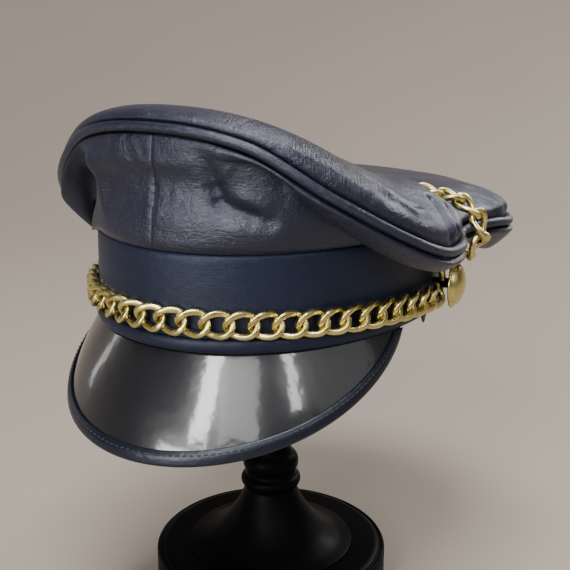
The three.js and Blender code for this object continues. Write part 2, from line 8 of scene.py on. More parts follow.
import bmesh
import bpy
import numpy as np
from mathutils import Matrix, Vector


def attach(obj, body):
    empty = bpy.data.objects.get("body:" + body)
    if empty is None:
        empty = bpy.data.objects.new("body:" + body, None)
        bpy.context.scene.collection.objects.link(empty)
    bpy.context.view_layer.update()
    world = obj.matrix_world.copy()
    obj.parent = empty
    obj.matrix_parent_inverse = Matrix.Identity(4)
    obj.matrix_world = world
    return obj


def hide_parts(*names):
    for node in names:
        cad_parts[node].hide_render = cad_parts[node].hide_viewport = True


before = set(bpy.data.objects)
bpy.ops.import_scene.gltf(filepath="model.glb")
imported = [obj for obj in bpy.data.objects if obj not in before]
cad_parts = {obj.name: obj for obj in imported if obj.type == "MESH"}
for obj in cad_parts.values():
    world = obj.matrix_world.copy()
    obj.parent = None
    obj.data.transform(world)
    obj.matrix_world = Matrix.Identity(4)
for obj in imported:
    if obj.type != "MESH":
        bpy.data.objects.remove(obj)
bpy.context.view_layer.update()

MM = 0.001
PLACE = np.array([0.0, 5.6, 173.5])
UP = np.array([0, 0, 1.0])
# Gap between two pieces that lie on each other.
GAP = 0.3


def table(columns, rows):
    """Rows as dictionaries, with a name for each column."""
    return [dict(zip(columns.split(), row)) for row in rows]


# Camera: where the photograph was taken from, seen from the cap's origin, its focal length in pixels, and
# where that origin falls in the frame, which is a square of PHOTO pixels.
PHOTO = 570
VIEW = Sizes(azimuth=31.8, elevation=16.4, distance=550, focal=1026, x=276.1, y=291.3)
SENSOR = 36

# Band and welt
BAND = Sizes(half_width=83, half_length=103, height=44.6, wall=2.8, columns=220, rows=18)
# How far the band bulges halfway up, how much its corners are cut, and how near them its faces end, as a
# share of the height.
BAND_FACE = Sizes(bulge=0.35, corner=0.5, margin=0.03)
WELT = Sizes(height=6.6, proud=2.2, steps=14, fullness=0.7)

# Crown, section by section from the front centre (0 degrees) to the back centre (180 degrees): radius and
# height of the piping's centre, depth of the roll under it on the wearer's left and right, radius and height
# of the side panel's middle, and how full the top panel swells just inside the piping.
CROWN = table("angle rim rim_up left right mid mid_up full", [
    (0, 100.6, 98.6, 0, 0, 103.6, 70, 9),
    (25, 104.4, 92.5, 3, 0, 102.6, 67, 6.2),
    (45, 108.2, 70.7, 11, 7, 96.5, 56, 5.2),
    (62, 110, 52.6, 12, 15, 92, 50, 3.6),
    (75, 110.2, 42, 10, 17, 90, 46.5, 4),
    (86, 106.4, 39.6, 7.5, 14, 88, 45.6, 6),
    (94, 101.4, 39.4, 6, 8, 87, 45.2, 8.5),
    (100, 97.8, 40.6, 6, 6, 86, 45, 9),
    (106, 101.2, 41.6, 7, 7, 87, 45.2, 10),
    (112, 111.6, 42, 13, 13, 92, 46, 11),
    (119, 120.8, 40.4, 15, 15, 97, 46.5, 12),
    (132, 121.6, 39.8, 15, 15, 102, 46.5, 12),
    (155, 119.5, 41, 14.5, 14.5, 105.5, 45.4, 11),
    (180, 118, 42, 13.5, 13.5, 107.6, 45.2, 11),
])
# Angle of the notch at each side. The middle of the top panel lies level with the two notches.
NOTCH = 102.6
# Side panel from its middle up to the piping, as places out and up from the rim: where it runs straight up,
# and where it rolls under. The roll's depth and its tuck inwards are counted from FULL_ROLL on.
FULL_ROLL = 6
LEAST_TUCK = 1.5
STRAIGHT = [(1.6, -15), (1.3, -10), (0.9, -6)]
ROLLED = Sizes(inward=5.5, down=0.72, lip_out=2.0, lip_share=0.45, lip_most=3.6, lip_down=2)
NECK = 3.1

# Height of the top panel along the middle of the cap, with the valley that the crown chain presses into it.
RIDGE = table("along height", [
    (-105, 111), (-80, 107), (-50, 89.5), (-20, 78), (0, 70.4), (5.5, 68), (9, 64), (12.5, 58), (18, 55.8),
    (30, 56.4), (50, 58.4), (90, 56), (125, 54.5),
])

# Leather of the crown: its wall, the piping's radius, how round the top panel's edge is, and the points and
# the gap of the seam between the side panels.
LEATHER = Sizes(
    wall=1.6, piping=2.3, piping_sides=16, edge_curve=0.7, columns=560, top_rows=76, side_rows=64, seam=0.1,
)
# Roll of the top panel just inside its edge: how far it leans out over the piping, and how near the edge.
EDGE_ROLL = Sizes(out=4.4, power=20)
# Swell of the side panel over the band: how far up towards its middle, and how far out.
PUFF = Sizes(share=0.22, out=1.8)

# Folds of the side panels: a groove (or with a negative depth a ridge) between two places on the panel,
# each an angle from the front, positive on the wearer's left, and a height.
FOLDS = table("from_angle from_up to_angle to_up width depth", [
    (12, 96, 15, 86, 5, 2.4),
    (15, 86, 16.9, 74, 3.6, 2.2),
    (16.9, 74, 18, 68.6, 4.2, 3.2),
    (18, 68.6, 20, 65.4, 4.4, 3.8),
    (20, 65.4, 25.9, 61.6, 4.2, 3.6),
    (25.9, 61.6, 30, 60, 4.4, 2.4),
    (24.5, 70, 28.5, 67.5, 4.2, -0.6),
    (18, 90, 20, 84, 4, -1.4),
    (2, 60, 22, 54, 8, -1.5),
    (-23, 80, -20, 60, 5, -1.5),
    (-8, 92, -5, 80, 2.6, 0.7),
    (-4.5, 94, -2.5, 88, 1.6, 0.6),
    (-13, 84, -5, 76, 2.4, 0.5),
])
# Waist of the front: how far the side panels draw in above their swell over the band, and the angles over
# which that fades out.
WAIST = Sizes(inward=3.2, fade_from=13.6, fade_to=34)
# Seam at the front: how deep and wide its dip is, and how strong, wide and fine the pucker beside it.
SEAM = Sizes(dip=0.8, dip_width=1.5, pucker=0.14, pucker_width=6, scale=4.2, drawn_out=0.3)

# Recess on the wearer's right, where the panel caves in behind a crease. The crease as heights and angles,
# then how deep the recess is, how soon it gets that deep, the angles over which it fades out, and those over
# which the shade painted into its leather does.
CREASE = table("height angle", [
    (47, 29.2), (61.2, 23.9), (72, 21.6), (79.4, 21.9), (86.5, 24.6), (93.5, 29.5),
])
RECESS = Sizes(depth=12, turn=7, fade_from=36, fade_to=64, shade_from=70, shade_to=95)

# Sag of the panel's foot over the band on the wearer's right: out, down, how far up it is at its most, and
# the angles between which it swells and dies away.
SAG = Sizes(out=3.8, down=5.2, at=3.0, start=-24, full=-40, fading=-62, end=-84)

# Creases of the top panel, between two places in the plan, with their width and depth.
TOP_CREASES = table("from_x from_y to_x to_y width depth", [
    (83.9, -51.2, 95.4, -40.2, 2.8, -2.0),
    (95.4, -40.2, 97, -28, 2.8, -1.6),
    (79, -48, 90.5, -37, 3.4, 2.4),
    (90.5, -37, 91.5, -26, 3.4, 2.0),
    (78, -22, 84, -22, 11, 2.2),
    (91, -8, 105.5, -18, 2.2, 3.2),
    (96, 0, 106, -9, 1.8, 2.4),
    (86, 5, 97, 9, 2.4, 1.8),
    (82, 34, 100, 44, 4, 1.6),
    (88, 52, 106, 56, 3.4, 1.2),
    (-78, -44, -94, -34, 3, 1.8),
    (-90, -4, -104, -14, 2.4, 2.4),
    (-84, 32, -102, 42, 4, 1.6),
])
# Gathers along the top panel's edge: where they are densest, how far they spread, and how dense they are.
GATHERS = table("angle spread most", [
    (40, 19, 1.0), (68, 12, 0.55), (-45, 22, 0.7), (128, 26, 0.4), (-128, 26, 0.4),
])

# Where the gathers fade in and out between the top panel's middle (0) and its edge (1), where they stand up
# in relief, how much of a slow random field makes them thin and thick, and where the panel's relief ends.
GATHERED = Sizes(
    start=0.78, full=0.9, fading=0.95, end=0.985, raised_from=0.86, raised_full=0.92, thin=-0.6, thick=0.7,
    relief_end=0.985,
)
# Fine relief of the top panel: millimetres of its edge for each degree, height and spacing of the gathers
# and of the slow dents, and how many millimetres its way out from the middle counts for in each field.
RELIEF = Sizes(
    degree=1.9, gather=0.16, gather_scale=6.5, gather_way=14, patch_scale=34, patch_way=90, dent=0.3,
    dent_scale=46,
)

# Peak: its half sweep round the band, its width and the two powers of its outline, its slope in degrees at
# the middle and what is added to it at the ends, how far it bows out, its wall, and where it ends.
PEAK = Sizes(
    sweep=80.8, width=52.6, bluntness=1.93, roundness=0.86, slope=63.4, slope_gain=0.6, bow=1.6, wall=1.8,
    end=0.985, least=2.2, columns=200, rows=40,
)
# Binding of the peak. Edge and under are how thick it is at its edge and below, as shares of its wall, and
# nose is the angle at which its rounded nose starts.
BINDING = Sizes(width=7, wall=1.2, lap=0.8, edge=0.55, under=0.7, nose=0.25)
BINDING_STEPS = Sizes(upper=9, nose=10, lower=4)

# Curb chains: outer length and width of a link, wire across, and distance from link to link.
CHAIN = Sizes(length=17, width=13.4, wire=2.9, pitch=10.8)
# Where the chains lie: the front one's half sweep, heights and distances from the band at its middle and its
# ends, and the crown one's distance from the top panel and how far it follows the panel out to the notches.
FRONT_PLACE = Sizes(sweep=97.5, height=14.6, end_height=8.8, stand_off=3.6, end_stand_off=5.4, points=81)
CROWN_PLACE = Sizes(stand_off=4.3, steps=7, reach=0.84, points=600)
# Link: points round it and round its wire, room where two links cross, and how square and full the wire is.
LINK = Sizes(segments=44, sides=14, clearance=0.25, squareness=3.2, fullness=1.08)

# Route of the crown chain from behind the side button up to the edge of the top panel.
CHAIN_RISE = table("across along height", [
    (86.6, 21.6, 16.8), (86.6, 21.6, 22.8), (89.2, 21.6, 27.4), (95.6, 21.5, 29), (101.2, 21.4, 32),
    (104.4, 21.2, 37.6), (104.4, 21, 44.6), (100, 20.8, 51), (92, 20.8, 56),
])

# Side buttons: their dome on its shank, and their place on the band as a sweep and a height.
BUTTON = Sizes(radius=12.5, rim=1.6, dome=5.5, shank=2.6, stand_off=8.4, sweep=104, height=11.4, sides=64)
# Rolled rim of a button, out from its radius and up in shares of the rim's height, and the dome inside it:
# how far in it stands, how high its foot is in the rim, and the angle and steps it is turned with.
BUTTON_RIM = [(-0.3, 0.25), (0, 0.6), (-0.3, 1.05), (-1.1, 1.05)]
BUTTON_DOME = Sizes(inset=1.2, foot=0.7, start=0.12, steps=18)

# Leather tab. Point is how its foot tapers, thin its least thickness as a share of its wall, and the soft
# ones are where it starts to thin towards its sides and its foot.
TAB = Sizes(
    sweep=101, width=11, wall=1.6, top=14, shoulder=-3, foot=-9.5, point=1.15, thin=0.35, soft_side=0.86,
    soft_foot=0.95, columns=23, rows=30,
)

# Stitches: length, distance from one to the next, and thickness of the thread. Those of the seam stand so
# many degrees beside it, sunk so far, from a way above its foot to a way below its top. Those of the edge
# keep an inset from the binding's edge, as high as a share of its wall, and stop short of its ends.
SEAM_STITCH = Sizes(length=1.5, pitch=2.3, thread=0.42, beside=0.62, sunk=0.3, above_foot=2, below_top=3)
EDGE_STITCH = Sizes(length=2.2, pitch=3.2, thread=0.42, inset=2.2, above=0.92, ends=4, samples=4000)
# Shape of one stitch: sides round it, rings along it, and how far it tapers at its ends.
PILL = Sizes(sides=6, rings=5, taper=0.92)

# Turned outlines of the stand, as radius and height above the floor.
BASE_OUTLINE = [
    (0, 0), (62.5, 0), (64.5, 1.5), (64.5, 26.6), (63.4, 27.8), (62.2, 26.8), (61, 28.2), (59, 29), (0, 29),
]
COLUMN_OUTLINE = [
    (0, 29.3), (46, 29.3), (45.6, 30), (38, 32), (31, 36.5), (23, 45), (17, 55), (14, 62.5), (16.6, 65.2),
    (16.6, 68.2), (13.2, 71), (15.4, 75), (15.4, 80), (11, 84.5), (9.5, 100), (9.5, 190), (0, 190),
]
PAD_OUTLINE = [
    (0, 190.3), (22, 190.3), (44, 196), (53, 202.5), (52, 208.5), (43, 217.5), (30, 224.3), (15, 228.5),
    (0, 230),
]
# Turned bodies: sides round them, steps over an eased corner, and its reach as a share of the shorter side.
TURN = Sizes(sides=128, steps=6, reach=0.48)


def mix(a, b, t):
    return a + (b - a) * t


def smooth(low, high, x):
    t = np.clip((np.asarray(x, float) - low) / (high - low), 0, 1)
    return t * t * (3 - 2 * t)


def column(rows, key):
    return np.array([row[key] for row in rows], float)


def curve_through(rows, along, key):
    """Smooth curve through one named column of a table, level at both ends."""
    xs, ys = column(rows, along), column(rows, key)
    slope = np.zeros(len(xs))
    slope[1:-1] = (ys[2:] - ys[:-2]) / (xs[2:] - xs[:-2])

    def at(x):
        x = np.asarray(x, float)
        i = np.clip(np.searchsorted(xs, x, side="left") - 1, 0, len(xs) - 2)
        span, rise = xs[i + 1] - xs[i], ys[i + 1] - ys[i]
        u = np.clip((x - xs[i]) / span, 0, 1)
        leave, arrive = slope[i] * span - rise, rise - slope[i + 1] * span
        return ys[i] + rise * u + u * (1 - u) * (leave * (1 - u) + arrive * u)

    return at


CURVES = {key: curve_through(CROWN, "angle", key) for key in CROWN[0] if key != "angle"}
ridge_height = curve_through(RIDGE, "along", "height")
crease_angle = curve_through(CREASE, "height", "angle")


def crown(key, angle):
    """One named column of the crown's table at angles from -180 to 180 degrees."""
    return CURVES[key](np.abs(angle))


def wander(*coordinates, scale, seed, waves=7):
    """Slow random field between about -1 and 1: a few sine waves with seeded directions and phases."""
    field = 0.0
    draw = np.random.default_rng(seed)
    for _ in range(waves):
        way = draw.normal(size=len(coordinates))
        way /= np.linalg.norm(way)
        phase = draw.uniform(0, 2 * math.pi)
        size = draw.uniform(0.6, 1.5)
        along = sum(w * c for w, c in zip(way, coordinates))
        field = field + np.sin(2 * math.pi * along * size / scale + phase)
    return field / math.sqrt(waves)


def circle(count):
    return np.linspace(0, 2 * math.pi, count, endpoint=False)


def unit(v):
    return v / np.linalg.norm(v, axis=-1, keepdims=True)


def run_along(points):
    """How far along a row of points each of them is."""
    return np.concatenate([[0], np.cumsum(np.linalg.norm(np.diff(points, axis=0), axis=-1))])


def towards(azimuth, elevation):
    """Direction from the cap at an azimuth, from the front to the wearer's left, and an elevation."""
    a, e = math.radians(azimuth), math.radians(elevation)
    return Vector((math.sin(a) * math.cos(e), -math.cos(a) * math.cos(e), math.sin(e)))


def added(name, data):
    """New object in the scene."""
    obj = bpy.data.objects.new(name, data)
    bpy.context.scene.collection.objects.link(obj)
    return obj


def polar(angle, radius, height):
    a = np.radians(angle)
    return np.stack([radius * np.sin(a), -radius * np.cos(a), height + 0 * radius], -1)


def make_object(name, points, faces, replaced=None, lay=None, marks=()):
    """Mesh object from points in the cap's frame, its faces turned outwards and shaded smooth. It rides on
    the only body. The lay is where each point lies on the piece laid flat, in millimetres, for the grain of
    its leather, and marks are names with a number for each point, which the leather reads."""
    mesh = bpy.data.meshes.new(name)
    mesh.from_pydata(((np.asarray(points, float) + PLACE) * MM).tolist(), [], faces)
    mesh.update()
    if lay is not None:
        corner = np.empty(len(mesh.loops), int)
        mesh.loops.foreach_get("vertex_index", corner)
        flat = mesh.uv_layers.new(name="lay")
        flat.data.foreach_set("uv", (np.asarray(lay, float)[corner] * MM).ravel())
    for mark, values in marks:
        attribute = mesh.attributes.new(mark, "FLOAT", "POINT")
        attribute.data.foreach_set("value", np.asarray(values, float).ravel())
    work = bmesh.new()
    work.from_mesh(mesh)
    bmesh.ops.recalc_face_normals(work, faces=work.faces)
    work.to_mesh(mesh)
    work.free()
    mesh.polygons.foreach_set("use_smooth", [True] * len(mesh.polygons))
    obj = added(name, mesh)
    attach(obj, "root")
    if replaced:
        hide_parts(replaced)
    return obj


def grid_faces(rows, columns, first=0, wrap_rows=False, wrap_columns=False):
    """Quads of a grid of points, stored row after row."""
    i = np.arange(rows if wrap_rows else rows - 1)[:, None]
    j = np.arange(columns if wrap_columns else columns - 1)[None, :]
    i2, j2 = (i + 1) % rows, (j + 1) % columns
    quads = np.stack([i * columns + j, i2 * columns + j, i2 * columns + j2, i * columns + j2], -1)
    return (quads.reshape(-1, 4) + first).tolist()


def fans(count, columns):
    """Triangles from the two points after a grid of so many points to its first and last row."""
    j = np.arange(columns)
    k, last = (j + 1) % columns, count - columns
    near, far = [0 * j + count, j, k], [0 * j + count + 1, last + k, last + j]
    return np.concatenate([np.stack(near, -1), np.stack(far, -1)]).tolist()


def flat_lay(loops):
    """Where the points of a body lie when it is laid flat: along its middle, and round its section."""
    middle = loops.mean(axis=1)
    along = run_along(middle)
    section = np.linalg.norm(np.diff(loops, axis=1), axis=-1).mean(axis=0)
    across = np.concatenate([[0], np.cumsum(section)])
    return np.stack(np.broadcast_arrays(along[:, None], across[None, :]), -1).reshape(-1, 2)


def ring_body(name, loops, replaced, closed=True, marks=()):
    """Closed body through loops of points. The last joins the first, or both ends are capped."""
    rows, columns = loops.shape[:2]
    faces = grid_faces(rows, columns, wrap_rows=closed, wrap_columns=True)
    if not closed:
        last = (rows - 1) * columns
        faces += [list(range(columns)), list(range(last, last + columns))[::-1]]
    return make_object(name, loops.reshape(-1, 3), faces, replaced, flat_lay(loops), marks)


def normals_of(grid):
    """Unit normals of a grid of points whose rows run round."""
    across = (np.roll(grid, -1, axis=1) - np.roll(grid, 1, axis=1)) / 2
    n = np.cross(np.gradient(grid, axis=0), across)
    return n / np.maximum(np.linalg.norm(n, axis=-1, keepdims=True), 1e-9)


# Band


def on_band(sweep):
    """Foot of the band at a sweep in degrees round the oval, and the direction straight out there."""
    a = np.radians(np.asarray(sweep, float))
    point = np.stack([BAND.half_width * np.sin(a), -BAND.half_length * np.cos(a), 0 * a], -1)
    out = np.stack([BAND.half_length * np.sin(a), -BAND.half_width * np.cos(a), 0 * a], -1)
    return point, unit(out)


def band_radius(angle):
    a = np.radians(angle)
    return 1 / np.hypot(np.sin(a) / BAND.half_width, np.cos(a) / BAND.half_length)


def band_ring(name, section, replaced):
    """Ring round the band. Its section is a list of places, each out from the band's face and up."""
    sweep = np.linspace(0, 360, BAND.columns, endpoint=False)
    point, out = on_band(sweep)
    section = np.array(section, float)
    loops = point[:, None] + out[:, None] * section[None, :, :1]
    loops[..., 2] += section[None, :, 1]
    return ring_body(name, loops, replaced)


def band():
    height, wall, corner = BAND.height, BAND.wall, BAND_FACE.corner
    up = np.linspace(BAND_FACE.margin, 1 - BAND_FACE.margin, BAND.rows)
    outer = [(BAND_FACE.bulge * math.sin(math.pi * t), height * t) for t in up]
    inner = [(-wall, height * t) for t in up[::-1]]
    section = [(-corner, 0), *outer, (-corner, height), (-wall + corner, height), *inner, (-wall + corner, 0)]
    return band_ring("band_leather", section, "band")


def welt():
    height, steps = WELT.height, WELT.steps
    section = [(GAP, height), (GAP, 0)]
    for t in (np.arange(steps) + 0.5) / steps:
        proud = WELT.proud * math.sin(math.pi * t) ** WELT.fullness
        section.append((GAP + proud, height / 2 * (1 - math.cos(math.pi * t))))
    return band_ring("welt_roll", section, "band_welt")


# Crown


SIDE_NAMES = {1: "left", -1: "right"}
# Millimetres along the front of the crown for each degree
PER_DEGREE = math.radians(BAND.half_length)


def round_angles(count):
    return np.linspace(-180, 180, count, endpoint=False)


def top_edge(angle):
    return crown("rim", angle) - LEATHER.piping - GAP


TOP_MIDDLE = polar(NOTCH, top_edge(NOTCH), 0.0) * [0, 1, 0]


def top_point(angle, fraction):
    """Point of the top panel's outside, without its wrinkles. Fraction 0 is its middle, 1 its edge."""
    foot = crown("rim_up", angle) + LEATHER.piping / 2
    near = fraction ** EDGE_ROLL.power
    lean = EDGE_ROLL.out * 4 * near * (1 - near)
    shift = TOP_MIDDLE * (1 - np.asarray(fraction))[..., None]
    p = polar(angle, top_edge(angle) * fraction + lean, 0.0) + shift
    swell = (1 - fraction ** crown("full", angle)) ** LEATHER.edge_curve
    p[..., 2] = mix(foot, ridge_height(p[..., 1]), swell)
    return p


def crown_top():
    rows, columns = LEATHER.top_rows, LEATHER.columns
    share = np.sin(np.linspace(0, math.pi / 2, rows + 1)[1:])
    angle, fraction = np.meshgrid(round_angles(columns), share)
    grid = top_point(angle, fraction)
    normal = normals_of(grid)
    normal *= np.sign(normal[..., 2:3].mean())
    outer = grid + normal * top_relief(grid, angle, fraction)[..., None]
    inner = outer - normal * LEATHER.wall
    middle = outer[0].mean(axis=0)
    under = middle - [0, 0, LEATHER.wall]
    loops = np.concatenate([outer, inner[::-1]])
    points = np.concatenate([loops.reshape(-1, 3), [middle, under]])
    faces = grid_faces(2 * rows, columns, wrap_columns=True)
    faces += fans(2 * rows * columns, columns)
    # The grain runs straight in from the edge: the lay's long way is out from the middle.
    run = np.cumsum(np.linalg.norm(np.diff(outer, axis=0, prepend=outer[:1]), axis=-1), axis=0)
    round_way = np.radians(angle) * top_edge(angle)
    lay = np.stack([run, round_way], -1)
    lay = np.concatenate([lay.reshape(-1, 2), lay[::-1].reshape(-1, 2), [[0, 0], [0, 0]]])
    gather = gathered(angle, fraction)
    gather = np.concatenate([gather.ravel(), gather[::-1].ravel(), [0, 0]])
    marks = [("gather", gather)]
    return make_object("top_panel", points, faces, "crown_top", lay, marks)


def line_depth(place, rows, keys, scale=1):
    """Depth of grooves (or, negative, ridges) that run straight between two places, each with a width."""
    grooves, ridges = 0.0, 0.0
    for row in rows:
        start, end = np.array([row[key] for key in keys.split()], float).reshape(2, 2) * scale
        line = end - start
        t = np.clip((place - start) @ line / (line @ line), 0, 1)
        away = np.linalg.norm(place - start - t[..., None] * line, axis=-1)
        depth = row["depth"] * np.exp(-((away / row["width"]) ** 2))
        grooves, ridges = np.maximum(grooves, depth), np.minimum(ridges, depth)
    return grooves + ridges


def gathered(angle, fraction):
    """How much the top panel is drawn up along its edge, 0 to 1."""
    most = 0.0
    for row in GATHERS:
        most = most + row["most"] * np.exp(-(((angle - row["angle"]) / row["spread"]) ** 2))
    along, out = angle * RELIEF.degree, fraction * RELIEF.patch_way
    field = wander(along, out, scale=RELIEF.patch_scale, seed=8)
    patch = smooth(GATHERED.thin, GATHERED.thick, field)
    inner_end = smooth(GATHERED.start, GATHERED.full, fraction)
    return most * patch * inner_end * smooth(GATHERED.end, GATHERED.fading, fraction)


def top_relief(grid, angle, fraction):
    """How far the top panel's leather stands out of its plain form: gathers, creases and slow dents."""
    free = smooth(1.0, GATHERED.relief_end, fraction)
    along, out = angle * RELIEF.degree, fraction * RELIEF.gather_way
    ripple = wander(along, out, scale=RELIEF.gather_scale, seed=3)
    raised = smooth(GATHERED.raised_from, GATHERED.raised_full, fraction)
    gathers = RELIEF.gather * gathered(angle, fraction) * raised
    dents = wander(grid[..., 0], grid[..., 1], scale=RELIEF.dent_scale, seed=5)
    creases = line_depth(grid[..., :2], TOP_CREASES, "from_x from_y to_x to_y")
    return free * (gathers * ripple + RELIEF.dent * dents - creases)


def fold_depth(angle, height):
    """How deep the folds of the side panels are at a place."""
    place = np.stack([angle * PER_DEGREE, height], -1)
    return line_depth(place, FOLDS, "from_angle from_up to_angle to_up", [PER_DEGREE, 1])


def behind_crease(angle, height):
    return smooth(0, RECESS.turn, -angle - crease_angle(height))


def recess_depth(angle, height):
    """How deep the recess behind the crease is at a place."""
    fade = 1 - smooth(RECESS.fade_from, RECESS.fade_to, -angle)
    return RECESS.depth * behind_crease(angle, height) * fade


def side_controls(angle):
    """Places that the side panel's section runs through: radius and height, from the band's top up."""
    rim, up = crown("rim", angle), crown("rim_up", angle)
    roll = np.where(angle > 0, crown("left", angle), crown("right", angle))
    share = np.clip(roll / FULL_ROLL, 0, 1)
    tuck = np.maximum(LEAST_TUCK, roll - FULL_ROLL)
    foot = np.stack([band_radius(angle) - GAP, BAND.height + GAP + 0 * angle], -1)
    waist = WAIST.inward * (1 - smooth(WAIST.fade_from, WAIST.fade_to, np.abs(angle)))
    middle = np.stack([crown("mid", angle) - waist, crown("mid_up", angle) + waist], -1)
    lip = np.minimum(ROLLED.lip_share * roll, ROLLED.lip_most) + ROLLED.lip_down
    rolled = [(-tuck - ROLLED.inward, -ROLLED.down * roll), (-tuck, -roll), (ROLLED.lip_out, -lip)]
    under = [
        (rim + mix(straight_out, rolled_out, share), up + mix(straight_up, rolled_up, share))
        for (straight_out, straight_up), (rolled_out, rolled_up) in zip(STRAIGHT, rolled)
    ]
    under.append((rim + GAP, up - NECK))
    puff = mix(foot, middle, PUFF.share) + [PUFF.out, 0]
    return np.stack([foot, puff, middle, *(np.stack(place, -1) for place in under)])


def through(controls, count):
    """Even steps along a smooth curve through control places. The first axis runs along the curve."""
    ends = [2 * controls[0] - controls[1], *controls, 2 * controls[-1] - controls[-2]]
    fine = []
    per_span = 24
    for i in range(1, len(ends) - 2):
        p0, p1, p2, p3 = ends[i - 1 : i + 3]
        for t in np.arange(per_span) / per_span:
            bend = 2 * p0 - 5 * p1 + 4 * p2 - p3
            fine.append(p1 + 0.5 * t * (p2 - p0 + t * (bend + t * (3 * (p1 - p2) + p3 - p0))))
    fine = np.array([*fine, controls[-1]])
    steps = np.linalg.norm(np.diff(fine, axis=0), axis=-1)
    length = np.concatenate([np.zeros_like(steps[:1]), np.cumsum(steps, axis=0)])
    wanted = np.linspace(0, 1, count)
    out = np.empty((count, *controls.shape[1:]))
    for k in range(controls.shape[1]):
        share = length[:, k] / length[-1, k]
        for axis in range(controls.shape[2]):
            out[:, k, axis] = np.interp(wanted, share, fine[:, k, axis])
    return out


def seam_dip(away):
    return SEAM.dip * np.exp(-((away / SEAM.dip_width) ** 2))


def seam_pucker(angle, height):
    """Dip of the side panels towards the front seam, gathered a little by its stitches."""
    away = np.abs(angle) * PER_DEGREE
    gather = wander(height, away * SEAM.drawn_out, scale=SEAM.scale, seed=11)
    return seam_dip(away) + SEAM.pucker * gather * np.exp(-((away / SEAM.pucker_width) ** 2))


def foot_sag(angle, run):
    """How far out and up the panel's foot moves where it sags over the band, at a run from its lower edge."""
    swell = smooth(SAG.start, SAG.full, angle) * smooth(SAG.end, SAG.fading, angle)
    near = run / SAG.at * np.exp(1 - run / SAG.at)
    return (swell * near)[..., None] * [SAG.out, -SAG.down]


def crown_side(side):
    """One half of the crown's side, from the seam at the front to the seam at the back."""
    columns, rows = LEATHER.columns // 2, LEATHER.side_rows
    seam = math.degrees(LEATHER.seam / 2 / CROWN[0]["rim"])
    angle = side * np.linspace(seam, 180 - seam, columns)
    section = through(side_controls(angle), rows)
    along = unit(np.gradient(section, axis=0))
    outward = np.stack([along[..., 1], -along[..., 0]], -1)
    row = np.linspace(0, 1, rows)[:, None]
    free = np.sin(row * math.pi)
    at = np.broadcast_to(angle, section.shape[:2])
    press = free * (fold_depth(at, section[..., 1]) + seam_pucker(at, section[..., 1]))
    outer = section - outward * press[..., None]
    outer[..., 0] -= free * recess_depth(at, section[..., 1])
    step = np.linalg.norm(np.diff(section, axis=0, prepend=section[:1]), axis=-1)
    outer += foot_sag(at, np.cumsum(step, axis=0))
    inner = outer - outward * LEATHER.wall
    loop = np.concatenate([outer, inner[::-1]])
    angles = np.broadcast_to(angle, loop.shape[:2])
    # Painted shade: how far the leather behind the crease is darkened, fading out towards the back.
    shade = behind_crease(angles, loop[..., 1]) * smooth(RECESS.shade_to, RECESS.shade_from, -angles)
    loops = polar(angles, loop[..., 0], loop[..., 1]).transpose(1, 0, 2)
    name = SIDE_NAMES[side]
    piece, replaced, marks = f"side_panel_{name}", f"crown_side_{name}", [("shade", shade.T)]
    return ring_body(piece, loops, replaced, closed=False, marks=marks)


def piping():
    angle = round_angles(LEATHER.columns)
    rim = polar(angle, crown("rim", angle), crown("rim_up", angle))
    along = unit(np.roll(rim, -1, axis=0) - np.roll(rim, 1, axis=0))
    side = unit(np.cross(along, UP))
    up = np.cross(side, along)
    a = circle(LEATHER.piping_sides)[None, :, None]
    loops = rim[:, None] + LEATHER.piping * (side[:, None] * np.cos(a) + up[:, None] * np.sin(a))
    return ring_body("piping_cord", loops, "crown_piping")


# Peak


def peak_section(share):
    point, out = on_band(share * PEAK.sweep)
    slope = np.radians(PEAK.slope + PEAK.slope_gain * share**2)[..., None]
    width = PEAK.width * (1 - np.abs(share) ** PEAK.bluntness) ** PEAK.roundness
    return Sizes(
        root=point - GAP * UP,
        down=out * np.cos(slope) - UP * np.sin(slope),
        face=out * np.sin(slope) + UP * np.cos(slope),
        width=np.maximum(PEAK.least, width),
    )


def on_peak(section, along, above):
    share = np.clip(along / section.width, 0, 1)
    bow = PEAK.bow * 4 * share * (1 - share) * np.minimum(1, section.width / PEAK.width)
    return section.root + section.down * along[..., None] + section.face * (above + bow)[..., None]


def peak_sweep(name, places_of, replaced):
    turn = np.linspace(-math.pi / 2, math.pi / 2, PEAK.columns)
    section = peak_section(PEAK.end * np.sin(turn))
    loops = [on_peak(section, along, above + 0 * along) for along, above in places_of(section.width)]
    return ring_body(name, np.stack(loops, 1), replaced, closed=False)


def peak():
    def places(width):
        edge = width - BINDING.wall - GAP
        shares = np.linspace(0, 1, PEAK.rows)
        upper = [(edge * s, 0.0) for s in shares]
        lower = [(edge * s, -PEAK.wall) for s in shares[::-1]]
        return upper + lower

    return peak_sweep("patent_peak", places, "peak")


def binding_start(width):
    """How far out the binding starts where the peak is so wide."""
    return np.maximum(np.minimum(BINDING.lap, width / 4), width - BINDING.width)


def binding():
    wall, edge = BINDING.wall, BINDING.edge
    foot = -PEAK.wall - GAP
    upper_steps = np.linspace(0, 1, BINDING_STEPS.upper)
    nose_steps = np.linspace(BINDING.nose, math.pi - BINDING.nose, BINDING_STEPS.nose)
    lower_steps = np.linspace(0, 1, BINDING_STEPS.lower)

    def places(width):
        start, slot = binding_start(width), width - wall
        upper = []
        for t in upper_steps:
            upper.append((mix(start, slot, t), GAP + wall * mix(edge, 1, math.sin(math.pi * t))))
        middle = (GAP + foot) / 2
        radius = (GAP - foot) / 2 + edge * wall
        nose = [(slot + wall * math.sin(a), middle + radius * math.cos(a)) for a in nose_steps]
        lower = [(mix(slot, start, t), foot - BINDING.under * wall) for t in lower_steps]
        return [(start, GAP), *upper, *nose, *lower, (start, foot), (slot, foot), (slot, GAP)]

    return peak_sweep("binding_leather", places, "peak_binding")


# Chains


